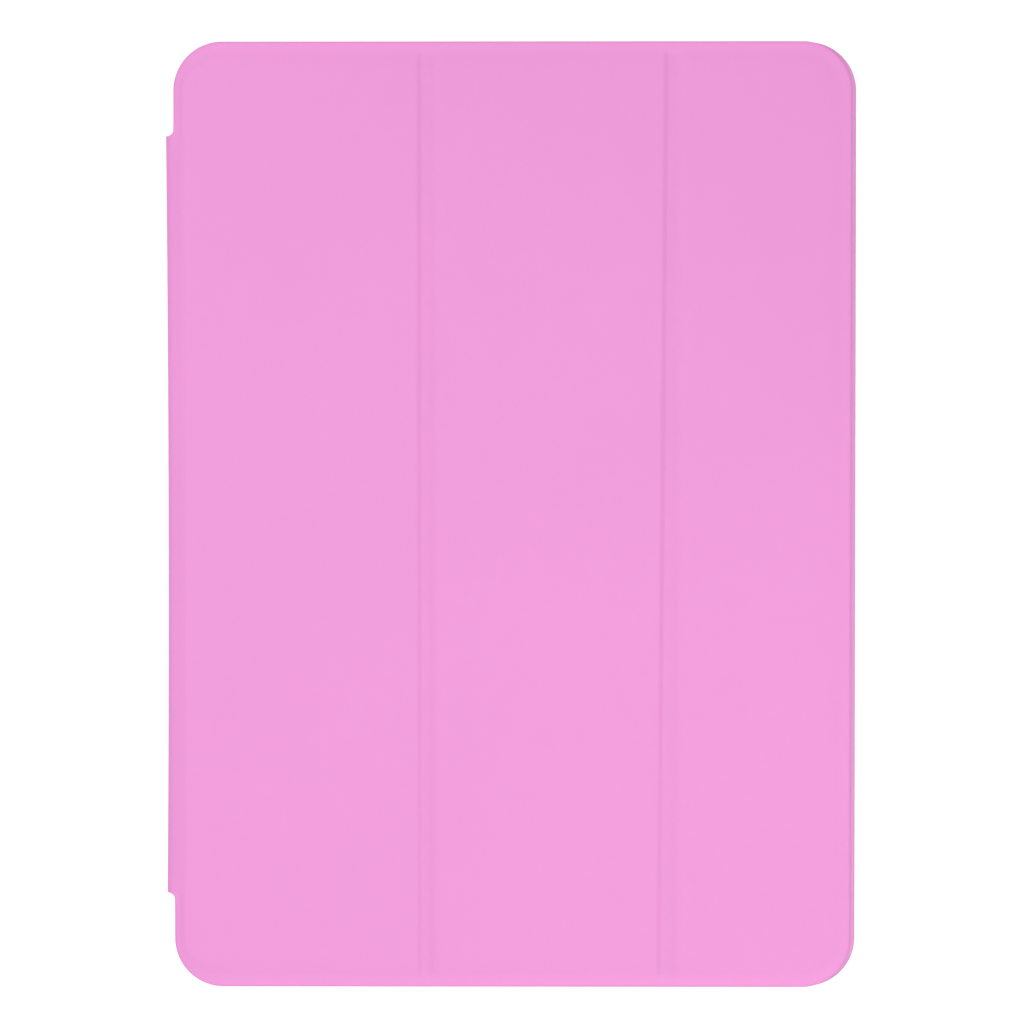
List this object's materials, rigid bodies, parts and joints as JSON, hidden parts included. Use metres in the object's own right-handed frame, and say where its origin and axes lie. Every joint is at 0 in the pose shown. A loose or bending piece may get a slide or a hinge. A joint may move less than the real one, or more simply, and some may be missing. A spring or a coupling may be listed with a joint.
{
  "type": "tablet case",
  "caption": "Tri-fold tablet case: a rigid tray with a soft leather spine and a front cover of hinged boards that opens, lies flat and folds up into a stand.",
  "frame": {"origin": "centre of the closed case's footprint, on the face it lies on", "axes": "+X from the spine to the opening edge, +Y to the tablet's top end, +Z out of the front cover"},
  "size_m": [0.1838, 0.252, 0.0113],
  "materials": {
    "outer_leather": "smooth artificial leather, matt, fine grain",
    "lining": "short-napped microfibre",
    "tray_plastic": "matt moulded polycarbonate",
    "board": "plain pressed greyboard",
    "stiffener": "plain plastic strip",
    "magnet": "nickel-plated"
  },
  "bodies": {
    "back": {"back_shell": "tray_plastic", "back_skin": "outer_leather", "back_lining": "lining"},
    "spine": {"spine_skin": "outer_leather", "spine_stiffener": "stiffener", "spine_lining": "lining"},
    "panel_1": {"panel_1_skin": "outer_leather", "panel_1_board": "board", "panel_1_lining": "lining", "stand_magnets": "magnet"},
    "panel_2": {"panel_2_skin": "outer_leather", "panel_2_board": "board", "panel_2_lining": "lining"},
    "panel_3": {"panel_3_skin": "outer_leather", "panel_3_board": "board", "panel_3_lining": "lining", "closing_magnets": "magnet", "wake_magnet": "magnet"}
  },
  "joints": [
    {"name": "spine_back_fold", "type": "hinge", "parent": "back", "child": "spine", "pos_m": [-0.09129, 0, 0.00061], "axis": [0, -1, 0], "range_deg": [0, 90]},
    {"name": "spine_front_fold", "type": "hinge", "parent": "spine", "child": "panel_1", "pos_m": [-0.09129, 0, 0.01023], "axis": [0, -1, 0], "range_deg": [0, 165]},
    {"name": "panel_fold_1", "type": "hinge", "parent": "panel_1", "child": "panel_2", "pos_m": [-0.0231, 0, 0.0114], "axis": [0, -1, 0], "range_deg": [0, 136]},
    {"name": "panel_fold_2", "type": "hinge", "parent": "panel_2", "child": "panel_3", "pos_m": [0.0426, 0, 0.0114], "axis": [0, -1, 0], "range_deg": [0, 175]}
  ]
}
